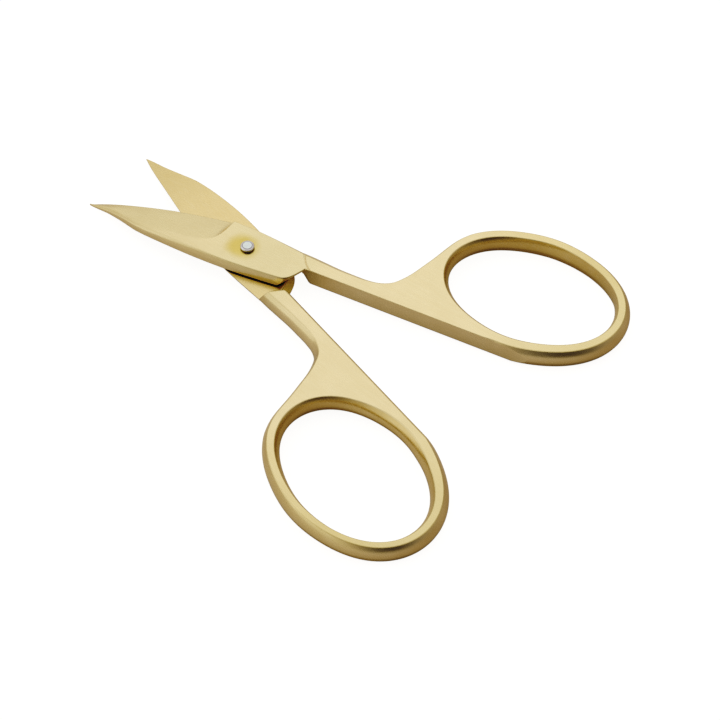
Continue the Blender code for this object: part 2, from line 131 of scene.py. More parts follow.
GRIND_LINE = [(-12.2, 1.40), (-11.7, 0.45), (-11.35, 0.02), (-10.75, -0.50), (-10.2, -1.05),
              (-9.75, -1.75), (-9.45, -2.45), (-9.32, -3.20), (-9.28, -4.10), (-9.28, -5.40)]
FLAT_Y = -0.08
FLAT_FILLET = 0.65

# --- pivot pin -----------------------------------------------------------------------
HOLE_R = 1.10
SHAFT_R = 1.02
PEEN_R = 1.20
PEEN_FLAT_R = 0.80
PEEN_TOP = 2.46
PIN_HEAD_R = 1.95
PIN_HEAD_H = 0.55
PIN_SEAT = 0.04
DISH_R = 3.1
DISH_DEPTH = 0.05


def along(knots, x):
    """Monotone piecewise cubic through knots given as (x, y), with x rising."""
    n = len(knots)
    if x <= knots[0][0]:
        return knots[0][1]
    if x >= knots[-1][0]:
        return knots[-1][1]
    h = [knots[i + 1][0] - knots[i][0] for i in range(n - 1)]
    d = [(knots[i + 1][1] - knots[i][1]) / h[i] for i in range(n - 1)]
    m = [d[0]] + [0.0] * (n - 2) + [d[-1]]
    for i in range(1, n - 1):
        if d[i - 1] * d[i] > 0:
            a, b = 2 * h[i] + h[i - 1], h[i] + 2 * h[i - 1]
            m[i] = (a + b) / (a / d[i - 1] + b / d[i])
    i = max(j for j in range(n - 1) if knots[j][0] <= x)
    t = (x - knots[i][0]) / h[i]
    return ((1 + 2 * t) * (1 - t) ** 2 * knots[i][1] + t * (1 - t) ** 2 * h[i] * m[i]
            + t * t * (3 - 2 * t) * knots[i + 1][1] + t * t * (t - 1) * h[i] * m[i + 1])


def blade_drop(x, y):
    if x <= 0:
        return 0.0
    return CURVE_RATE * max(0.0, math.hypot(x, y) - CURVE_START) ** 2


def spine_y(x):
    if x >= SPINE_POINT[0][0]:
        return along(SPINE_POINT, x)
    if x >= SPINE_BELLY[0][0]:
        return along(SPINE_BELLY, x)
    return along(HEEL_END, x)


def edge_y(x):
    if x >= EDGE[0][0]:
        return along(EDGE, x)
    if x >= EDGE_HEEL[0][0]:
        return along(EDGE_HEEL, x)
    return along([(-12.4, -3.0), (-9.8, -3.0), EDGE_HEEL[0]], x)


def facet_y(x):
    if x >= FACET_Y[0][0]:
        return along(FACET_Y, x)
    return edge_y(x) + 0.86 + 0.34 * min(1.0, max(0.0, -x / 9.0))


def blade_section(x, curve_sign):
    """Closed section of the blade at x: lap face, spine, outer face, edge."""
    ye, ys, top = edge_y(x), spine_y(x), along(TOP_Z, x)
    low = LAP_GAP / 2
    land = EDGE_LAND if x > EDGE[0][0] - 0.6 else EDGE_LAND + (EDGE[0][0] - 0.6 - x) * 0.02
    land = min(land, 0.25)
    w = min(along(SPINE_WIDE, x), 0.45 * (ys - ye))
    yf = min(facet_y(x), ys - w - 0.02)
    c = min(CHAMFER, 0.1 * (ys - ye))
    points = [(ye + (ys - c - ye) * t / 12, low) for t in range(13)]
    # the spine is barrelled, and then turns over quickly into the outer face
    foot, full = low + c * 0.8, math.radians(SPINE_BARREL)
    crest = low + (1 - SPINE_TURN) * (top - low)
    s = min((crest - foot) * math.tan(full / 2), 0.55 * w)
    for k in range(8):
        a = full * k / 7
        points.append((ys - s * (1 - math.cos(a)) / (1 - math.cos(full)),
                       foot + (crest - foot) * math.sin(a) / math.sin(full)))
    for k in range(1, 9):
        a = full + (math.pi / 2 - full) * k / 8
        points.append((ys - s - (w - s) * (math.cos(full) - math.cos(a)) / math.cos(full),
                       crest + (top - crest) * (math.sin(a) - math.sin(full))
                       / (1 - math.sin(full))))
    for t in (0.92, 0.75, 0.5, 0.25, 0.08):
        points.append((yf + (ys - w - yf) * t, top))
    points.append((yf, top))
    end = (ye + 0.03, low + land)
    mid = (ye + 0.55 * (yf - ye), low + land + 0.62 * (top - low - land))
    for t in (0.03, 0.08, 0.2, 0.4, 0.6, 0.8, 0.93):
        # a quadratic through the ridge, the middle and the edge
        a, b, c2 = (1 - t) * (1 - 2 * t), 4 * t * (1 - t), t * (2 * t - 1)
        points.append(tuple(a * p + b * q + c2 * s for p, q, s in zip((yf, top), mid, end)))
    points.append(end)
    return [Vector((x, y, z - curve_sign * blade_drop(x, y))) * MM for y, z in points]


def to_mesh(name, bm):
    mesh = bpy.data.meshes.new(name)
    bm.to_mesh(mesh)
    bm.free()
    return mesh


def loft(name, sections):
    """Skins the sections, all of the same count of points, and caps both ends."""
    bm = bmesh.new()
    rings = [[bm.verts.new(p) for p in section] for section in sections]
    n = len(rings[0])
    for a, b in zip(rings, rings[1:]):
        for i in range(n):
            bm.faces.new((a[i], a[(i + 1) % n], b[(i + 1) % n], b[i]))
    bm.faces.new(rings[0])
    bm.faces.new(rings[-1])
    bmesh.ops.recalc_face_normals(bm, faces=bm.faces)
    return to_mesh(name, bm)


def shave(mesh, point, normal):
    """Planes off the side of the mesh that the normal points to, and closes the cut."""
    bm = bmesh.new()
    bm.from_mesh(mesh)
    cut = bmesh.ops.bisect_plane(
        bm, geom=list(bm.verts) + list(bm.edges) + list(bm.faces), dist=1e-7,
        plane_co=Vector(point) * MM, plane_no=Vector(normal), clear_outer=True)["geom_cut"]
    bmesh.ops.edgeloop_fill(bm, edges=[g for g in cut if isinstance(g, bmesh.types.BMEdge)])
    bmesh.ops.recalc_face_normals(bm, faces=bm.faces)
    bm.to_mesh(mesh)
    bm.free()


def blade_stations():
    spans = [(-12.0, -7.0, 20), (-7.0, 4.4, 26), (4.4, 7.6, 26), (7.6, 20.3, 36),
             (20.3, 31.2, 36)]
    return [a + (b - a) * i / n for a, b, n in spans for i in range(n)] + [31.2, TIP_X]


def loop_rim(psi):
    c, s = math.cos, math.sin
    r = (LOOP_RADIUS + LOOP_OVAL * c(2 * psi) + LOOP_SKEW * s(2 * psi)
         + LOOP_SQUARE * c(4 * psi))
    return Vector((LOOP_CENTRE[0] + r * c(psi), LOOP_CENTRE[1] + r * s(psi)))


def loop_normal(psi):
    d = loop_rim(psi + 1e-4) - loop_rim(psi - 1e-4)
    return Vector((d.y, -d.x)).normalized()


def rim_width(psi):
    return RIM_WIDTH + RIM_WIDE_WEB * math.cos(psi) + RIM_WIDE_SIDE * math.sin(psi)


def side_bulge(psi):
    return SIDE_BULGE - SIDE_BULGE_SWING * math.cos(psi + math.radians(30))


def smooth_path(knots, step):
    """Centripetal Catmull-Rom through the knots, resampled at about one step."""
    p = [Vector(k) for k in knots]
    p = [p[0] * 2 - p[1]] + p + [p[-1] * 2 - p[-2]]
    out = []
    for i in range(1, len(p) - 2):
        a, b, c, d = p[i - 1:i + 3]
        t0 = 0.0
        t1 = t0 + math.sqrt((b - a).length)
        t2 = t1 + math.sqrt((c - b).length)
        t3 = t2 + math.sqrt((d - c).length)
        count = max(1, round((c - b).length / step))
        for k in range(count):
            t = t1 + (t2 - t1) * k / count
            a1 = a * ((t1 - t) / (t1 - t0)) + b * ((t - t0) / (t1 - t0))
            a2 = b * ((t2 - t) / (t2 - t1)) + c * ((t - t1) / (t2 - t1))
            a3 = c * ((t3 - t) / (t3 - t2)) + d * ((t - t2) / (t3 - t2))
            b1 = a1 * ((t2 - t) / (t2 - t0)) + a2 * ((t - t0) / (t2 - t0))
            b2 = a2 * ((t3 - t) / (t3 - t1)) + a3 * ((t - t1) / (t3 - t1))
            out.append(b1 * ((t2 - t) / (t2 - t1)) + b2 * ((t - t1) / (t2 - t1)))
    out.append(p[-2])
    return out


def handle_outline(step=0.40, loop_step=1.6):
    """Mid-thickness outline of shank, web and loop as (point, inward normal, bulge)."""
    side = smooth_path(SHANK_SIDE, step)
    loop, bulge = [], []
    psi = -9.0
    while psi > -276.0:
        a = math.radians(psi)
        loop.append(loop_rim(a) + loop_normal(a) * (rim_width(a) + side_bulge(a)))
        bulge.append(side_bulge(a))
        psi -= loop_step
    end = loop[-1]
    flat = [Vector((end.x + (side[0].x - end.x) * t, 0.95)) for t in (0.1, 0.35, 0.7, 1.0)]
    path = side + loop + flat
    bulges = [along(SHANK_BULGE, p.x) for p in side] + bulge + [0.9] * len(flat)
    bulges[0] = bulges[-1] = 0.0
    # blend the shank's hollow side smoothly into the loop
    for _ in range(14):
        span = range(len(side) - 9, len(side) + 9)
        eased = [path[i] * 0.5 + (path[i - 1] + path[i + 1]) * 0.25 for i in span]
        level = [bulges[i] * 0.5 + (bulges[i - 1] + bulges[i + 1]) * 0.25 for i in span]
        for i, q, b in zip(span, eased, level):
            path[i], bulges[i] = q, b
    count = len(path)
    out = []
    for i, point in enumerate(path):
        d = path[(i + 1) % count] - path[i - 1]
        out.append((point, Vector((d.y, -d.x)).normalized(), bulges[i]))
    return out


def crowned(outline):
    """Sections of an outline whose wall is crowned: full at mid thickness, set in at the
    faces, which it meets at an edge with a fine chamfer. Only on the lap side, near the
    shoulder, does the wall roll over softly into the face."""
    rim = 1 - CHAMFER / HALF_THICK
    levels = [rim * math.sin(math.pi / 2 * i / 11) for i in range(12)]
    levels += [0.975, 0.985, 0.992, 0.997, 1.0]
    levels = [-k for k in reversed(levels[1:])] + levels
    soft = [0.0 if p.y < -6 else along([(-22.5, 0.0), (-17.5, 1.0)], p.x) for p, n, b in outline]

    def inset(b, s, k):
        s = s if k < 0 else 0.0
        k = abs(k)
        hard = b * k * k + CHAMFER * max(0.0, (k - rim) / (1 - rim))
        return (1 - s) * hard + s * b * (1 - math.sqrt(max(0.0, 1 - k * k)))

    sections = [[(p + n * inset(b, s, k), HALF_THICK * k) for (p, n, b), s in zip(outline, soft)]
                for k in levels]
    return [[Vector((*p, z)) * MM for p, z in section] for section in sections]


def hole_sections(count=225):
    """The finger hole's cutter: narrow at mid thickness, flared with a chamfer at both faces."""
    turn = [2 * math.pi * i / count - math.pi for i in range(count)]
    rims = [(loop_rim(a), -loop_normal(a), math.degrees(a)) for a in turn]
    rim = 1 - CHAMFER / HALF_THICK
    levels = [-rim + 2 * rim * i / 16 for i in range(17)]

    def inset(degrees, k):
        face = along(HOLE_OUTER if k > 0 else HOLE_LAP, degrees)
        return along(HOLE_MID, degrees) * (1 - k * k) + face * k * k

    sections = [[(p + n * inset(a, k), HALF_THICK * k) for p, n, a in rims] for k in levels]
    for side in (-1, 1):
        for z, out in ((HALF_THICK, -1.0), (HALF_THICK + CHAMFER, -2.0)):
            section = [(p + n * (inset(a, side) + CHAMFER * out), side * z) for p, n, a in rims]
            sections.insert(0, section) if side < 0 else sections.append(section)
    return [[Vector((*p, z)) * MM for p, z in section] for section in sections]


def shoulder_sections():
    """A block in front of the shank: its back is the curved shoulder, rising to the notch
    under the heel and to the faint grind line on the outer face."""
    low = LAP_GAP / 2
    fine = [smooth_path(curve, 0.25) for curve in (SHOULDER, NOTCH, GRIND_LINE)]
    count = 56
    rows = []
    for path in fine:
        total = len(path) - 1
        rows.append([path[int(total * i / count)].lerp(
            path[min(total, int(total * i / count) + 1)], total * i / count % 1)
            for i in range(count + 1)])
    shoulder, notch, grind = rows

    def plan(back, shift, z):
        points = [Vector((p[0] + (shift[i] if isinstance(shift, list) else shift), p[1]))
                  for i, p in enumerate(back)]
        points += [Vector((-4.0, -5.40)), Vector((-4.0, 1.40))]
        return [Vector((*p, z)) * MM for p in points]

    lean = SHOULDER_LEAN
    sections = [plan(shoulder, lean * (-2.4 - low) - 0.05, -2.4),
                plan(shoulder, lean * (-HALF_THICK - low) - 0.09, -HALF_THICK),
                plan(shoulder, lean * (-HALF_THICK + 0.09 - low), -HALF_THICK + 0.09)]
    sections += [plan(shoulder, lean * (z - low), z) for z in (-1.2, -0.5, low - 0.12)]
    sections.append(plan(shoulder, lean * -0.06 + 0.02, low - 0.04))
    sections.append(plan(shoulder, 0.06, low))
    for z, mix in ((0.34, 0.08), (0.40, 0.25), (0.45, 0.55), (0.49, 0.85), (0.54, 1.0), (1.72, 1.0)):
        back = [a.lerp(b, mix) for a, b in zip(shoulder, notch)]
        sections.append(plan(back, 0.0, z))
    sections.append(plan(grind, 0.0, RICASSO_TOP - 0.012))
    slope = [-0.22 - 0.75 * max(0.0, min(1.0, (p[1] + 3.9) / 3.8)) for p in grind]
    sections.append(plan(grind, slope, HALF_THICK + 0.004))
    sections.append(plan(grind, slope, 3.0))
    return sections


def boolean(obj, cutter, operation):
    mod = obj.modifiers.new(cutter.name, "BOOLEAN")
    mod.object = cutter
    mod.operation = operation
    mod.solver = "EXACT"
    return mod


cutters = bpy.data.collections.new("construction")
bpy.context.scene.collection.children.link(cutters)


def helper(name, mesh):
    obj = bpy.data.objects.new(name, mesh)
    cutters.objects.link(obj)
    obj.hide_render = True
    return obj


def turned(name, profile, steps):
    """A body of revolution about Z from a profile of (radius, height), axis to axis."""
    bm = bmesh.new()
    verts = [bm.verts.new(Vector((r, 0, z)) * MM) for r, z in profile]
    edges = [bm.edges.new(pair) for pair in zip(verts, verts[1:])]
    bmesh.ops.spin(bm, geom=verts + edges, cent=(0, 0, 0), axis=(0, 0, 1),
                   angle=math.tau, steps=steps, use_merge=True)
    bmesh.ops.remove_doubles(bm, verts=bm.verts, dist=1e-8)
    bmesh.ops.recalc_face_normals(bm, faces=bm.faces)
    return to_mesh(name, bm)


def finish_mesh(mesh, sharp, outer, place):
    """Shades the mesh, notes for the materials each point's coordinates in millimetres with
    the outer face up, and then puts the mesh in its place in the frame."""
    mesh.shade_smooth()
    mesh.set_sharp_from_angle(angle=math.radians(sharp))
    bm = bmesh.new()
    bm.from_mesh(mesh)
    for e in bm.edges:
        # every edge of a flat outer face, however blunt
        if len(e.link_faces) == 2 and e.smooth and max(
                f.normal.z * outer for f in e.link_faces) > 0.99999 and min(
                f.normal.z * outer for f in e.link_faces) < 0.9994:
            e.smooth = False
    bm.to_mesh(mesh)
    bm.free()
    own = mesh.attributes.new("own_mm", "FLOAT_VECTOR", "POINT")
    for v, item in zip(mesh.vertices, own.data):
        item.vector = Vector((v.co.x, v.co.y * outer, v.co.z * outer)) / MM
    mesh.transform(place)


def make_half(name, node, turned_over, mat):
    sign = -1.0 if turned_over else 1.0
    blade = loft(name, [blade_section(x, sign) for x in blade_stations()])
    way, lean = math.radians(HEEL_BEARING), math.radians(HEEL_SLANT)
    n = Vector((math.cos(way) * math.cos(lean), math.sin(way) * math.cos(lean),
                -math.sin(lean)))
    shave(blade, (*HEEL_CREASE, LAP_GAP / 2), n)
    # a narrow facet breaks the crease
    lean = math.radians(64.0)
    n = Vector((math.cos(way) * math.cos(lean), math.sin(way) * math.cos(lean),
                -math.sin(lean)))
    shave(blade, (HEEL_CREASE[0] - 0.13 * math.cos(way), HEEL_CREASE[1] - 0.13 * math.sin(way),
                  LAP_GAP / 2), n)

    handle = loft(name + "_handle", crowned(handle_outline()))
    shave(handle, (0, FLAT_Y, 0), (0, 1, 0))
    for degrees in (11, 22, 33, 45, 57, 68, 79):
        a = math.radians(degrees)
        n = Vector((0, math.cos(a), -math.sin(a)))
        at = Vector((0, FLAT_Y - FLAT_FILLET, -HALF_THICK + FLAT_FILLET)) + n * FLAT_FILLET
        shave(handle, at, n)
    shave(handle, (0, FLAT_Y, HALF_THICK - CHAMFER), (0, 1, 1))
    for degrees, reach in ((30.0, 0.75), (42.0, 0.71), (54.0, 0.67), (66.0, 0.65)):
        a = math.radians(degrees)
        n = Vector((math.cos(a) * 0.86, math.cos(a) * 0.51, -math.sin(a)))
        at = Vector((-11.75, FLAT_Y - 0.35, -HALF_THICK + 0.62)) + n.normalized() * reach
        shave(handle, at, n)

    half = bpy.data.objects.new(name, blade)
    bpy.context.scene.collection.objects.link(half)
    half.data.materials.append(mat)
    grip = helper(name + "_handle", handle)
    boolean(grip, helper(name + "_shoulder", loft(name + "_shoulder", shoulder_sections())),
            "DIFFERENCE")
    boolean(grip, helper(name + "_finger_hole", loft(name + "_finger_hole", hole_sections())),
            "DIFFERENCE")
    boolean(half, grip, "UNION")
    hole = [(0, 4.0), (HOLE_R, 4.0), (HOLE_R, -4.0), (0, -4.0)]
    boolean(half, helper(name + "_hole", turned(name + "_hole", hole, 72)), "DIFFERENCE")
    # the shallow hollow that peening leaves round the pin
    dish = [(0, 3.0), (DISH_R + 0.3, 3.0), (DISH_R + 0.3, RICASSO_TOP + 0.02)]
    for k in range(11):
        t = k / 10
        dish.append((DISH_R * (1 - t) + 0.9 * t,
                     RICASSO_TOP + 0.02 - (DISH_DEPTH + 0.02) * t * t * (3 - 2 * t)))
    dish.append((0, dish[-1][1]))
    boolean(half, helper(name + "_dish", turned(name + "_dish", dish, 96)), "DIFFERENCE")

    bpy.context.view_layer.update()
    shape = bpy.data.meshes.new_from_object(
        half.evaluated_get(bpy.context.evaluated_depsgraph_get()))
    half.modifiers.clear()
    bm = bmesh.new()
    bm.from_mesh(shape)
    bmesh.ops.remove_doubles(bm, verts=bm.verts, dist=2e-6)
    bmesh.ops.dissolve_degenerate(bm, edges=bm.edges, dist=2e-6)
    if turned_over:
        bmesh.ops.rotate(bm, verts=bm.verts, cent=(0, 0, 0),
                         matrix=Matrix.Rotation(math.pi, 3, "X"))
    bm.to_mesh(shape)
    bm.free()
    half.data = shape
    shape.name = name
    finish_mesh(shape, 20, -1.0 if turned_over else 1.0, Matrix.Translation((0, 0, -PEEN_TOP * MM)) @ Matrix.Rotation(
        math.radians(-HALF_ANGLE if turned_over else HALF_ANGLE), 4, "Z"))
    normals = half.modifiers.new("even_normals", "WEIGHTED_NORMAL")
    normals.keep_sharp = True
    normals.weight = 100
    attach(half, node)
    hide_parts(node)
    return half


def make_pin(mat):
    """The rivet: a low domed head below, a plain shaft, and a peened end with a turned
    flat, a rounded rim and a step down to the blade, painted dark as shade."""
    face = RICASSO_TOP + PIN_SEAT
    head = [(0.0, PEEN_TOP), (PEEN_FLAT_R - 0.05, PEEN_TOP), (PEEN_FLAT_R, PEEN_TOP - 0.006),
            (0.86, PEEN_TOP - 0.030), (0.93, PEEN_TOP - 0.055), (1.02, PEEN_TOP - 0.090),
            (1.10, PEEN_TOP - 0.130), (1.16, PEEN_TOP - 0.175), (1.19, PEEN_TOP - 0.215),
            (PEEN_R, PEEN_TOP - 0.26), (PEEN_R - 0.01, PEEN_TOP - 0.31),
            (1.17, face + 0.08), (1.14, face), (SHAFT_R, face), (SHAFT_R, -face)]
    dome = [(PIN_HEAD_R - 0.04, -face), (PIN_HEAD_R, -face - 0.04), (PIN_HEAD_R, -face - 0.18)]
    for k in range(1, 19):
        a = math.radians(5 * k)
        dome.append((PIN_HEAD_R * math.cos(a), -face - 0.18 - (PIN_HEAD_H - 0.18) * math.sin(a)))
    dome[-1] = (0.0, -face - PIN_HEAD_H)
    mesh = turned("rivet", head + dome, 96)
    pin = bpy.data.objects.new("rivet", mesh)
    bpy.context.scene.collection.objects.link(pin)
    mesh.materials.append(mat)
    finish_mesh(mesh, 30, 1.0, Matrix.Translation((0, 0, -PEEN_TOP * MM)))
    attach(pin, "lower_half")
    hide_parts("pivot_pin")
    return pin


# --- node helpers -----------------------------------------------------------------------
class Nodes:
    """A small writer for node trees."""

    def __init__(self, tree):
        self.tree = tree
        tree.nodes.clear()

    def add(self, kind, **inputs):
        node = self.tree.nodes.new(kind)
        for key, value in inputs.items():
            if key.startswith("_"):
                setattr(node, key[1:], value)
        for key, value in inputs.items():
            if key.startswith("_"):
                continue
            socket = node.inputs[int(key[1:])] if key[0] == "i" and key[1:].isdigit() \
                else node.inputs[key.replace("__", " ")]
            if isinstance(value, bpy.types.NodeSocket):
                self.tree.links.new(value, socket)
            else:
                socket.default_value = value
        return node

    def math(self, op, a, b=None, c=None, clamp=False):
        node = self.add("ShaderNodeMath", _operation=op, _use_clamp=clamp, i0=a)
        for i, v in ((1, b), (2, c)):
            if v is None:
                continue
            if isinstance(v, bpy.types.NodeSocket):
                self.tree.links.new(v, node.inputs[i])
            else:
                node.inputs[i].default_value = v
        return node.outputs[0]

    def vmath(self, op, a, b=None, scale=None):
        node = self.add("ShaderNodeVectorMath", _operation=op, i0=a)
        if b is not None:
            if isinstance(b, bpy.types.NodeSocket):
                self.tree.links.new(b, node.inputs[1])
            else:
                node.inputs[1].default_value = b
        if scale is not None:
            node.inputs["Scale"].default_value = scale
        return node.outputs["Value"] if op in ("DOT_PRODUCT", "LENGTH") else node.outputs[0]

    def smooth(self, x, low, high, out0=0.0, out1=1.0):
        node = self.add("ShaderNodeMapRange", _interpolation_type="SMOOTHSTEP", i0=x,
                        i1=low, i2=high, i3=out0, i4=out1)
        return node.outputs[0]

    def mix(self, factor, a, b, blend="MIX"):
        node = self.add("ShaderNodeMix", _data_type="RGBA", _blend_type=blend,
                        _clamp_factor=True)
        for socket, value in zip((node.inputs[0], node.inputs[6], node.inputs[7]),
                                 (factor, a, b)):
            if isinstance(value, bpy.types.NodeSocket):
                self.tree.links.new(value, socket)
            else:
                socket.default_value = value
        return node.outputs[2]

    def noise(self, vector, scale, detail=2.0, rough=0.5):
        node = self.add("ShaderNodeTexNoise", Vector=vector, Scale=scale, Detail=detail,
                        Roughness=rough)
        return node.outputs["Fac"] if "Fac" in node.outputs else node.outputs[0]


def rgb(r, g, b):
    return (r, g, b, 1.0)


def gold_material(name, blade_sign):
    """Satin brushed pale gold coating on steel, in the half's own coordinates."""
    mat = bpy.data.materials.new(name)
    mat.use_nodes = True
    t = Nodes(mat.node_tree)
    mm = t.add("ShaderNodeAttribute", _attribute_name="own_mm").outputs["Vector"]
    sep = t.add("ShaderNodeSeparateXYZ", Vector=mm)
    x, y, z = sep.outputs

    # brushing: long fine scratches, slightly oblique to the length, in two sizes
    turn = t.add("ShaderNodeVectorRotate", _rotation_type="Z_AXIS", Vector=mm,
                 Angle=math.radians(9)).outputs[0]
    fine = t.noise(t.vmath("MULTIPLY", turn, (0.55, 7.0, 2.5)), 1.0, 3.0, 0.6)
    coarse = t.noise(t.vmath("MULTIPLY", turn, (0.16, 2.6, 1.3)), 1.0, 2.0, 0.5)
    cloud = t.noise(mm, 0.22, 3.0, 0.55)
    grain = t.noise(mm, 5.0, 2.0, 0.5)

    # painted shade: the ground edges are drawn a shade darker than the faces they part, standing in for the dark
    # reflection along them
    bevel = t.add("ShaderNodeBevel", _samples=8, Radius=0.00012)
    geo = t.add("ShaderNodeNewGeometry")
    turned_by = t.vmath("DOT_PRODUCT", bevel.outputs[0], geo.outputs["Normal"])
    edge = t.smooth(turned_by, 0.99, 0.90)
    edge = t.math("MULTIPLY", edge, t.smooth(x, 2.6, 4.6, 1.0, 0.30))

    base = t.mix(t.smooth(cloud, 0.35, 0.68), rgb(0.885, 0.772, 0.505), rgb(0.915, 0.803, 0.535))
    # painted shade: darker and yellower on the loops' far ends and on the blades, the fall-off of the soft highlight
    # on the middle of the top faces; deepest on the lap faces
    face = t.smooth(t.math("ABSOLUTE", z), 1.76, 1.84)
    base = t.mix(t.math("MULTIPLY", face, t.smooth(x, -38.0, -60.0)), base,
                 rgb(0.93, 0.92, 0.83), "MULTIPLY")
    base = t.mix(t.math("MULTIPLY", t.smooth(x, -15.0, -10.5), t.smooth(x, 7.0, 1.0)), base,
                 rgb(0.945, 0.955, 0.93), "MULTIPLY")
    # painted shade: the finger hole's wall is coloured deeper than the rest, standing in for the dark reflections of
    # metal mirroring metal
    out_x = t.math("SUBTRACT", x, LOOP_CENTRE[0])
    out_y = t.math("SUBTRACT", y, LOOP_CENTRE[1])
    psi = t.math("ARCTAN2", out_y, out_x)
    rim = t.math("MULTIPLY_ADD", t.math("COSINE", t.math("MULTIPLY", psi, 2.0)), LOOP_OVAL,
                 LOOP_RADIUS)
    rim = t.math("MULTIPLY_ADD", t.math("COSINE", t.math("MULTIPLY", psi, 4.0)), LOOP_SQUARE,
                 rim)
    away = t.math("SQRT", t.math("ADD", t.math("MULTIPLY", out_x, out_x),
                                 t.math("MULTIPLY", out_y, out_y)))
    hole = t.math("MULTIPLY", t.smooth(t.math("SUBTRACT", away, rim), 0.9, 0.5),
                  t.math("SUBTRACT", 1.0, face))
    base = t.mix(hole, base, rgb(0.94, 0.89, 0.76), "MULTIPLY")
    # painted shade: the shank's flat side is a little browner towards the notch, where the two halves meet
    side = t.math("MULTIPLY", t.smooth(x, -21.0, -13.0), t.smooth(x, -8.0, -9.0))
    side = t.math("MULTIPLY", side, t.math("MULTIPLY", t.smooth(y, -0.9, -0.3), t.smooth(
        t.math("ABSOLUTE", z), 1.84, 1.74)))
    base = t.mix(side, base, rgb(0.92, 0.87, 0.79), "MULTIPLY")
    # painted shade: the same fall-off of the soft highlight, towards the far side of the loop and out along the
    # blades
    base = t.mix(t.smooth(y, -17.0, -23.0), base, rgb(0.965, 0.95, 0.87), "MULTIPLY")
    base = t.mix(t.smooth(x, 0.0, 8.0), base, rgb(0.975, 0.970, 0.940), "MULTIPLY")
    span = t.math("SUBTRACT", t.vmath("LENGTH", t.add("ShaderNodeCombineXYZ", X=x, Y=y,
                                                      Z=0.0).outputs[0]), CURVE_START)
    span = t.math("MAXIMUM", span, 0.0)
    drop = t.math("MULTIPLY", t.math("MULTIPLY", span, span), CURVE_RATE)
    drop = t.math("MULTIPLY", drop, t.math("GREATER_THAN", x, 0.0))
    over = t.math("SUBTRACT", t.math("MULTIPLY_ADD", drop, blade_sign, z), LAP_GAP / 2)
    lap = t.math("MULTIPLY", t.smooth(over, 0.09, 0.04), t.smooth(x, -11.5, -8.5))
    base = t.mix(lap, base, rgb(0.98, 0.935, 0.835), "MULTIPLY")
    base = t.mix(t.smooth(fine, 0.38, 0.70, 0.0, 0.22), base, rgb(0.95, 0.86, 0.62))
    base = t.mix(t.smooth(coarse, 0.40, 0.66, 0.0, 0.17), base, rgb(0.84, 0.71, 0.43))
    # deeper gold close round the pin
    flat = t.add("ShaderNodeCombineXYZ", X=x, Y=y, Z=0.0).outputs[0]
    shifted = t.vmath("ADD", flat, (-0.95, -0.1, 0.0))
    ring = t.vmath("LENGTH", shifted)
    ring = t.math("ADD", ring, t.math("MULTIPLY", t.math("SUBTRACT", cloud, 0.5), 1.6))
    tint = t.smooth(ring, 3.6, 1.2, 0.0, 0.92)
    base = t.mix(tint, base, rgb(0.76, 0.62, 0.24))
    # the faint sloped band where the shank's face meets the blade's, spotted by the grinding
    spots = t.noise(mm, 3.4, 2.0, 0.6)
    band = t.math("MULTIPLY", t.smooth(z, 1.876, 1.882), t.smooth(z, 1.918, 1.908))
    band = t.math("MULTIPLY", band, t.math("MULTIPLY", t.smooth(x, -13.2, -12.8),
                                           t.smooth(x, -8.6, -8.9)))
    base = t.mix(t.math("MULTIPLY", band, t.smooth(spots, 0.30, 0.62, 0.35, 0.95)), base,
                 rgb(0.74, 0.60, 0.34))
    # the heel's slanted facet: coarse, mottled and brown
    way = math.radians(HEEL_BEARING)
    beyond = t.math("ADD", t.math("MULTIPLY", t.math("SUBTRACT", x, HEEL_CREASE[0]), math.cos(way)),
                    t.math("MULTIPLY", t.math("SUBTRACT", y, HEEL_CREASE[1]), math.sin(way)))
    off = t.math("SUBTRACT", t.math("SUBTRACT", z, LAP_GAP / 2),
                 t.math("DIVIDE", beyond, math.tan(math.radians(HEEL_SLANT))))
    facet = t.math("MULTIPLY", t.smooth(t.math("ABSOLUTE", off), 0.09, 0.04),
                   t.smooth(beyond, 0.10, 0.22))
    facet = t.math("MULTIPLY", facet, t.math("MULTIPLY", t.smooth(z, 1.885, 1.865),
                                             t.smooth(y, -0.75, -0.55)))
    mottle = t.noise(mm, 4.2, 3.0, 0.65)
    base = t.mix(facet, base, t.mix(t.smooth(mottle, 0.34, 0.66), rgb(0.94, 0.70, 0.25),
                                    rgb(1.00, 0.88, 0.42)))
    # painted shade along the edges, from the edge mask
    base = t.mix(t.math("MULTIPLY", edge, 0.55), base, rgb(0.58, 0.50, 0.38))
    # painted shade where the two halves lie close over each other, from an occlusion node
    near = t.add("ShaderNodeAmbientOcclusion", _samples=8, Distance=0.0011).outputs["AO"]
    shade = t.math("MULTIPLY", t.smooth(near, 0.72, 0.15, 0.0, 0.85), t.math(
        "MULTIPLY", t.smooth(x, -14.0, -12.0), t.smooth(x, 8.5, 6.0)))
    shade = t.math("MULTIPLY", shade, t.smooth(t.vmath("LENGTH", flat), 1.4, 3.0, 0.15, 1.0))
    shade = t.math("MULTIPLY", shade, t.math("MULTIPLY_ADD", facet, -0.85, 1.0))
    base = t.mix(shade, base, rgb(0.10, 0.055, 0.02))

    rough = t.math("ADD", 0.20, t.math("MULTIPLY", fine, 0.08))
    rough = t.math("ADD", rough, t.math("MULTIPLY", cloud, 0.04))
    rough = t.math("ADD", rough, t.math("MULTIPLY", facet, 0.26))

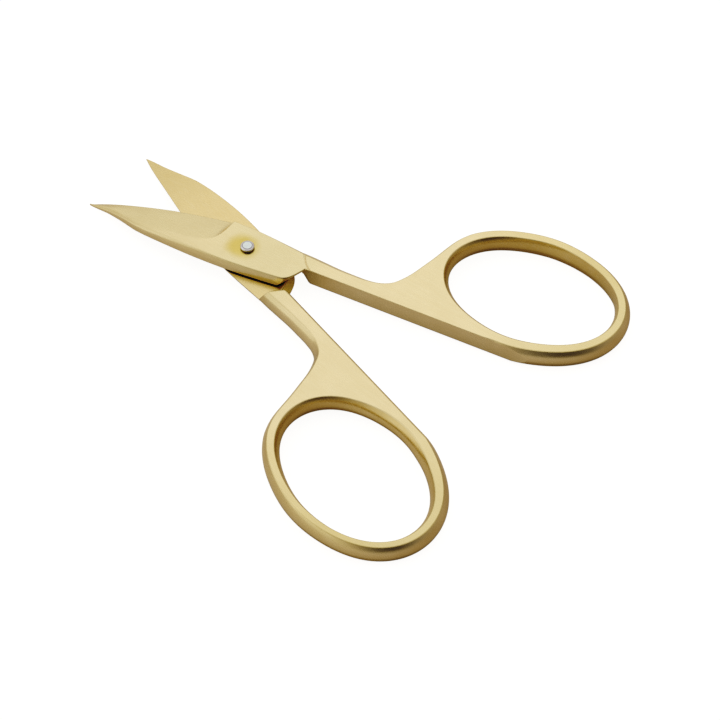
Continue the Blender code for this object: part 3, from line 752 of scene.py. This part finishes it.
    height = t.math("ADD", t.math("MULTIPLY", fine, 1.0), t.math("MULTIPLY", coarse, 0.6))
    height = t.math("ADD", height, t.math("MULTIPLY", grain, 0.25))
    height = t.math("ADD", height, t.math("MULTIPLY", t.math("MULTIPLY", facet, mottle), 2.0))
    bump = t.add("ShaderNodeBump", Strength=0.025, Distance=0.00004, Height=height,
                 Normal=bevel.outputs[0])
    tangent = t.add("ShaderNodeTangent", _direction_type="RADIAL", _axis="Y")
    shader = t.add("ShaderNodeBsdfPrincipled", Metallic=t.math("MULTIPLY_ADD", facet, -0.75, 1.0),
                   Base__Color=base, Roughness=rough, Normal=bump.outputs[0], Anisotropic=0.25,
                   Tangent=tangent.outputs[0])
    out = t.add("ShaderNodeOutputMaterial")
    t.tree.links.new(shader.outputs[0], out.inputs[0])
    return mat


def steel_material():
    """Bright turned steel with fine concentric lathe marks."""
    mat = bpy.data.materials.new("bright_turned_steel")
    mat.use_nodes = True
    t = Nodes(mat.node_tree)
    mm = t.add("ShaderNodeAttribute", _attribute_name="own_mm").outputs["Vector"]
    sep = t.add("ShaderNodeSeparateXYZ", Vector=mm)
    radius = t.vmath("LENGTH", t.add("ShaderNodeCombineXYZ", X=sep.outputs[0],
                                     Y=sep.outputs[1], Z=0.0).outputs[0])
    marks = t.noise(t.add("ShaderNodeCombineXYZ", X=t.math("MULTIPLY", radius, 18.0),
                          Y=0.0, Z=0.0).outputs[0], 1.0, 2.0, 0.5)
    cloud = t.noise(mm, 1.6, 3.0, 0.6)
    base = t.mix(cloud, rgb(0.83, 0.86, 0.84), rgb(0.71, 0.75, 0.73))
    bevel = t.math("MULTIPLY", t.smooth(radius, 0.74, 0.80), t.smooth(sep.outputs[2], 2.2, 2.3))
    base = t.mix(bevel, base, rgb(0.86, 0.84, 0.89))
    groove = t.math("MULTIPLY", t.smooth(radius, 0.74, 0.80), t.smooth(radius, 0.95, 0.87))
    base = t.mix(t.math("MULTIPLY", groove, bevel), base, rgb(0.46, 0.44, 0.49))
    # painted shade: the neck is coloured dark under the rim, and its foot takes the colour of the blade round it
    neck = t.math("MULTIPLY", t.smooth(sep.outputs[2], 2.10, 2.02),
                  t.smooth(sep.outputs[2], 0.5, 1.0))
    base = t.mix(neck, base, rgb(0.20, 0.17, 0.15))
    foot = t.math("MULTIPLY", neck, t.smooth(sep.outputs[2], 2.00, 1.95))
    base = t.mix(foot, base, rgb(0.70, 0.56, 0.28))
    rough = t.math("ADD", 0.18, t.math("MULTIPLY", cloud, 0.14))
    bump = t.add("ShaderNodeBump", Strength=0.12, Distance=0.00003,
                 Height=t.math("ADD", marks, t.math("MULTIPLY", cloud, 0.7)))
    shader = t.add("ShaderNodeBsdfPrincipled", Metallic=1.0, Base__Color=base,
                   Roughness=rough, Normal=bump.outputs[0])
    out = t.add("ShaderNodeOutputMaterial")
    t.tree.links.new(shader.outputs[0], out.inputs[0])
    return mat


upper = make_half("upper_blade_and_loop", "upper_half", False,
                  gold_material("satin_pale_gold_upper", 1.0))
lower = make_half("lower_blade_and_loop", "lower_half", True,
                  gold_material("satin_pale_gold_lower", -1.0))
make_pin(steel_material())
for obj in list(cutters.objects):
    bpy.data.objects.remove(obj, do_unlink=True)
bpy.data.collections.remove(cutters)

# --- floor ---------------------------------------------------------------------------------
# The snips rest on both loops' far ends and on both curved tips.
bpy.context.view_layer.update()
points = []
for half in (upper, lower):
    points += [half.matrix_world @ v.co for v in half.data.vertices]
back = min(p.z for p in points if p.x < -0.05)
tip = min(p.z for p in points if p.x > 0.02)
tip_x = max(p.x for p in points)
back_x = min(p.x for p in points)
lean = (back - tip) / (tip_x - back_x)
bm = bmesh.new()
bmesh.ops.create_grid(bm, x_segments=2, y_segments=2, size=1.6)
floor = bpy.data.objects.new("floor", to_mesh("floor", bm))
bpy.context.scene.collection.objects.link(floor)
floor.rotation_euler = (0, math.atan(lean), 0)
floor.location = (0, 0, back - lean * -back_x - 0.00002)


# --- studio ----------------------------------------------------------------------------------
CAMERA = Vector((-0.158298, 0.162215, 0.267336 - PEEN_TOP * MM))
RIGHT = Vector((-0.77173934, -0.63593898, 0.0))
UP = Vector((0.50611477, -0.61419207, 0.60548818))
AHEAD = Vector((0.38505354, -0.46727905, -0.7958543))


NEAR = Vector((-AHEAD.x, -AHEAD.y, 0)).normalized()
# Brightness of the white tent low down and half way up, and of the table top far off, half
# way and close by, as mirrored in the metal: bearing in degrees from the camera's side,
# positive to the picture's right.
TENT_LOW = [(-180, 0.84), (-150, 0.74), (-135, 0.60), (-110, 0.72), (-80, 0.86), (-50, 0.72),
            (-30, 0.46), (-10, 0.22), (10, 0.13), (30, 0.15), (50, 0.27), (80, 0.43),
            (110, 0.46), (140, 0.52), (160, 0.72), (180, 0.84)]
TENT_MID = [(-180, 0.96), (-135, 0.82), (-105, 0.88), (-75, 0.80), (-45, 0.45), (-15, 0.24),
            (15, 0.20), (45, 0.40), (75, 0.64), (105, 0.62), (135, 0.78), (165, 0.95), (180, 0.96)]
ZENITH = 0.748
TABLE_FAR = [(-180, 0.72), (-135, 0.50), (-105, 0.58), (-75, 0.62), (-45, 0.64), (-15, 0.54),
             (15, 0.49), (45, 0.42), (75, 0.38), (105, 0.46), (135, 0.40), (165, 0.58), (180, 0.72)]
TABLE_MID = [(-180, 0.66), (-135, 0.56), (-105, 0.56), (-75, 0.56), (-45, 0.55), (-15, 0.48),
             (15, 0.43), (45, 0.40), (75, 0.39), (105, 0.40), (135, 0.42), (165, 0.54), (180, 0.66)]
TABLE_NEAR = [(-180, 0.36), (-105, 0.36), (-75, 0.38), (-45, 0.33), (-15, 0.30), (15, 0.26),
              (45, 0.24), (75, 0.23), (105, 0.25), (180, 0.36)]


def ramp(t, share, stops, kind="CARDINAL"):
    """A colour that follows the stops, given as (place from 0 to 1, grey or RGB)."""
    node = t.add("ShaderNodeValToRGB", Fac=share)
    node.color_ramp.interpolation = kind
    stops = [(at, rgb(*(c if isinstance(c, tuple) else (c, c, c)))) for at, c in stops]
    while len(node.color_ramp.elements) > 1:
        node.color_ramp.elements.remove(node.color_ramp.elements[-1])
    node.color_ramp.elements[0].position = stops[0][0]
    node.color_ramp.elements[0].color = stops[0][1]
    for at, colour in stops[1:]:
        node.color_ramp.elements.new(at).color = colour
    return node.outputs[0]


def bearing(t, way):
    """Bearing of a direction as a share of the full circle."""
    angle = t.math("ARCTAN2", t.vmath("DOT_PRODUCT", way, tuple(RIGHT)),
                   t.vmath("DOT_PRODUCT", way, tuple(NEAR)))
    return t.math("MULTIPLY_ADD", angle, 0.5 / math.pi, 0.5)


def circle(stops):
    return [(degrees / 360 + 0.5, level) for degrees, level in stops]


def floor_material():
    """A pale sweep: near white to the eye, and a glowing soft warm grey where the metal mirrors it, with painted
    shade right under the metal.
    """
    mat = bpy.data.materials.new("pale_floor")
    mat.use_nodes = True
    t = Nodes(mat.node_tree)
    path = t.add("ShaderNodeLightPath")
    cloud = t.noise(t.add("ShaderNodeTexCoord").outputs["Object"], 9.0, 3.0, 0.5)
    pale = t.mix(cloud, rgb(0.90, 0.90, 0.90), rgb(0.93, 0.93, 0.93))
    seen = t.add("ShaderNodeMixShader", i0=0.80)
    t.tree.links.new(t.add("ShaderNodeBsdfDiffuse", Color=pale).outputs[0], seen.inputs[1])
    t.tree.links.new(t.add("ShaderNodeEmission", Color=rgb(1, 1, 1), Strength=1.16).outputs[0],
                     seen.inputs[2])
    away = t.vmath("SCALE", t.add("ShaderNodeNewGeometry").outputs["Incoming"], scale=-1.0)
    down = t.math("MULTIPLY", t.add("ShaderNodeSeparateXYZ", Vector=away).outputs[2], -1.0)
    share = bearing(t, away)
    level = t.mix(t.smooth(down, 0.15, 0.55), ramp(t, share, circle(TABLE_FAR)),
                  ramp(t, share, circle(TABLE_MID)))
    level = t.mix(t.smooth(down, 0.78, 0.96), level, ramp(t, share, circle(TABLE_NEAR)))
    warm = ramp(t, level, [(0.26, (1.0, 0.86, 0.78)), (0.36, (1.0, 0.80, 0.64)),
                           (0.52, (1.0, 0.89, 0.80)), (0.70, (1.0, 0.95, 0.86))], "LINEAR")
    glow = t.mix(1.0, level, warm, "MULTIPLY")
    # painted shade: the mirrored glow is darker right under the metal
    under_metal_shade = t.add("ShaderNodeAmbientOcclusion", _samples=6, Distance=0.005)
    glow = t.mix(t.smooth(under_metal_shade.outputs["AO"], 0.9, 0.2, 0.0, 0.65), glow, rgb(0.10, 0.08, 0.06))
    mirrored = t.add("ShaderNodeMixShader", i0=0.80)
    t.tree.links.new(t.add("ShaderNodeBsdfDiffuse", Color=rgb(0.72, 0.62, 0.52)).outputs[0],
                     mirrored.inputs[1])
    t.tree.links.new(t.add("ShaderNodeEmission", Color=glow).outputs[0], mirrored.inputs[2])
    mix = t.add("ShaderNodeMixShader", i0=path.outputs["Is Camera Ray"])
    t.tree.links.new(mirrored.outputs[0], mix.inputs[1])
    t.tree.links.new(seen.outputs[0], mix.inputs[2])
    # seen from below the floor is clear, so that the underside can be looked at
    beneath = t.math("MULTIPLY", t.add("ShaderNodeNewGeometry").outputs["Backfacing"],
                     path.outputs["Is Camera Ray"])
    clear = t.add("ShaderNodeMixShader", i0=beneath)
    t.tree.links.new(mix.outputs[0], clear.inputs[1])
    t.tree.links.new(t.add("ShaderNodeBsdfTransparent").outputs[0], clear.inputs[2])
    out = t.add("ShaderNodeOutputMaterial")
    t.tree.links.new(clear.outputs[0], out.inputs[0])
    return mat


def studio():
    """A white tent, brightest behind the snips and to the left, darker behind the camera."""
    world = bpy.data.worlds.new("studio")
    world.use_nodes = True
    t = Nodes(world.node_tree)
    way = t.add("ShaderNodeTexCoord").outputs["Generated"]
    sep = t.add("ShaderNodeSeparateXYZ", Vector=way)
    share = bearing(t, way)
    level = t.mix(t.smooth(sep.outputs[2], 0.02, 0.14), ramp(t, share, circle(TABLE_FAR)),
                  ramp(t, share, circle(TENT_LOW)))
    level = t.mix(t.smooth(sep.outputs[2], 0.42, 0.70), level, ramp(t, share, circle(TENT_MID)))
    level = t.mix(t.smooth(sep.outputs[2], 0.80, 0.95), level, rgb(ZENITH, ZENITH, ZENITH))
    warm = ramp(t, level, [(0.16, (1.0, 0.96, 1.0)), (0.38, (1.0, 0.87, 0.74)),
                           (0.62, (1.0, 0.93, 0.78)), (0.80, (1.0, 0.99, 0.93)),
                           (0.90, (1.0, 1.0, 1.0))], "LINEAR")
    tent = t.mix(1.0, level, warm, "MULTIPLY")
    path = t.add("ShaderNodeLightPath")
    seen = t.mix(path.outputs["Is Camera Ray"], tent, rgb(1, 1, 1))
    back = t.add("ShaderNodeBackground", Color=seen, Strength=1.0)
    out = t.add("ShaderNodeOutputWorld")
    t.tree.links.new(back.outputs[0], out.inputs[0])
    bpy.context.scene.world = world


floor.data.materials.append(floor_material())
studio()

camera = bpy.data.cameras.new("camera")
camera.lens = 103.06
camera.sensor_width = 36.0
camera.clip_start = 0.01
camera.clip_end = 20.0
eye = bpy.data.objects.new("camera", camera)
bpy.context.scene.collection.objects.link(eye)
turn = Matrix((RIGHT, UP, -AHEAD)).transposed().to_4x4()
eye.matrix_world = Matrix.Translation(CAMERA) @ turn
bpy.context.scene.camera = eye
# the camera's tone curve: straight, with a raised black point and a soft toe
view = bpy.context.scene.view_settings
view.view_transform = "Standard"
view.use_curve_mapping = True
tone = view.curve_mapping.curves[3]
tone.points[0].location = (0.0, 0.0)
tone.points[1].location = (1.0, 1.0)
for level in (0.03, 0.06, 0.09, 0.12, 0.15, 0.19, 0.24, 0.32, 0.45, 0.7):
    h = (level - 0.11) / 0.89
    tone.points.new(level, 0.5 * (h + math.sqrt(h * h + 0.0022)))
view.curve_mapping.update()

bpy.context.view_layer.update()
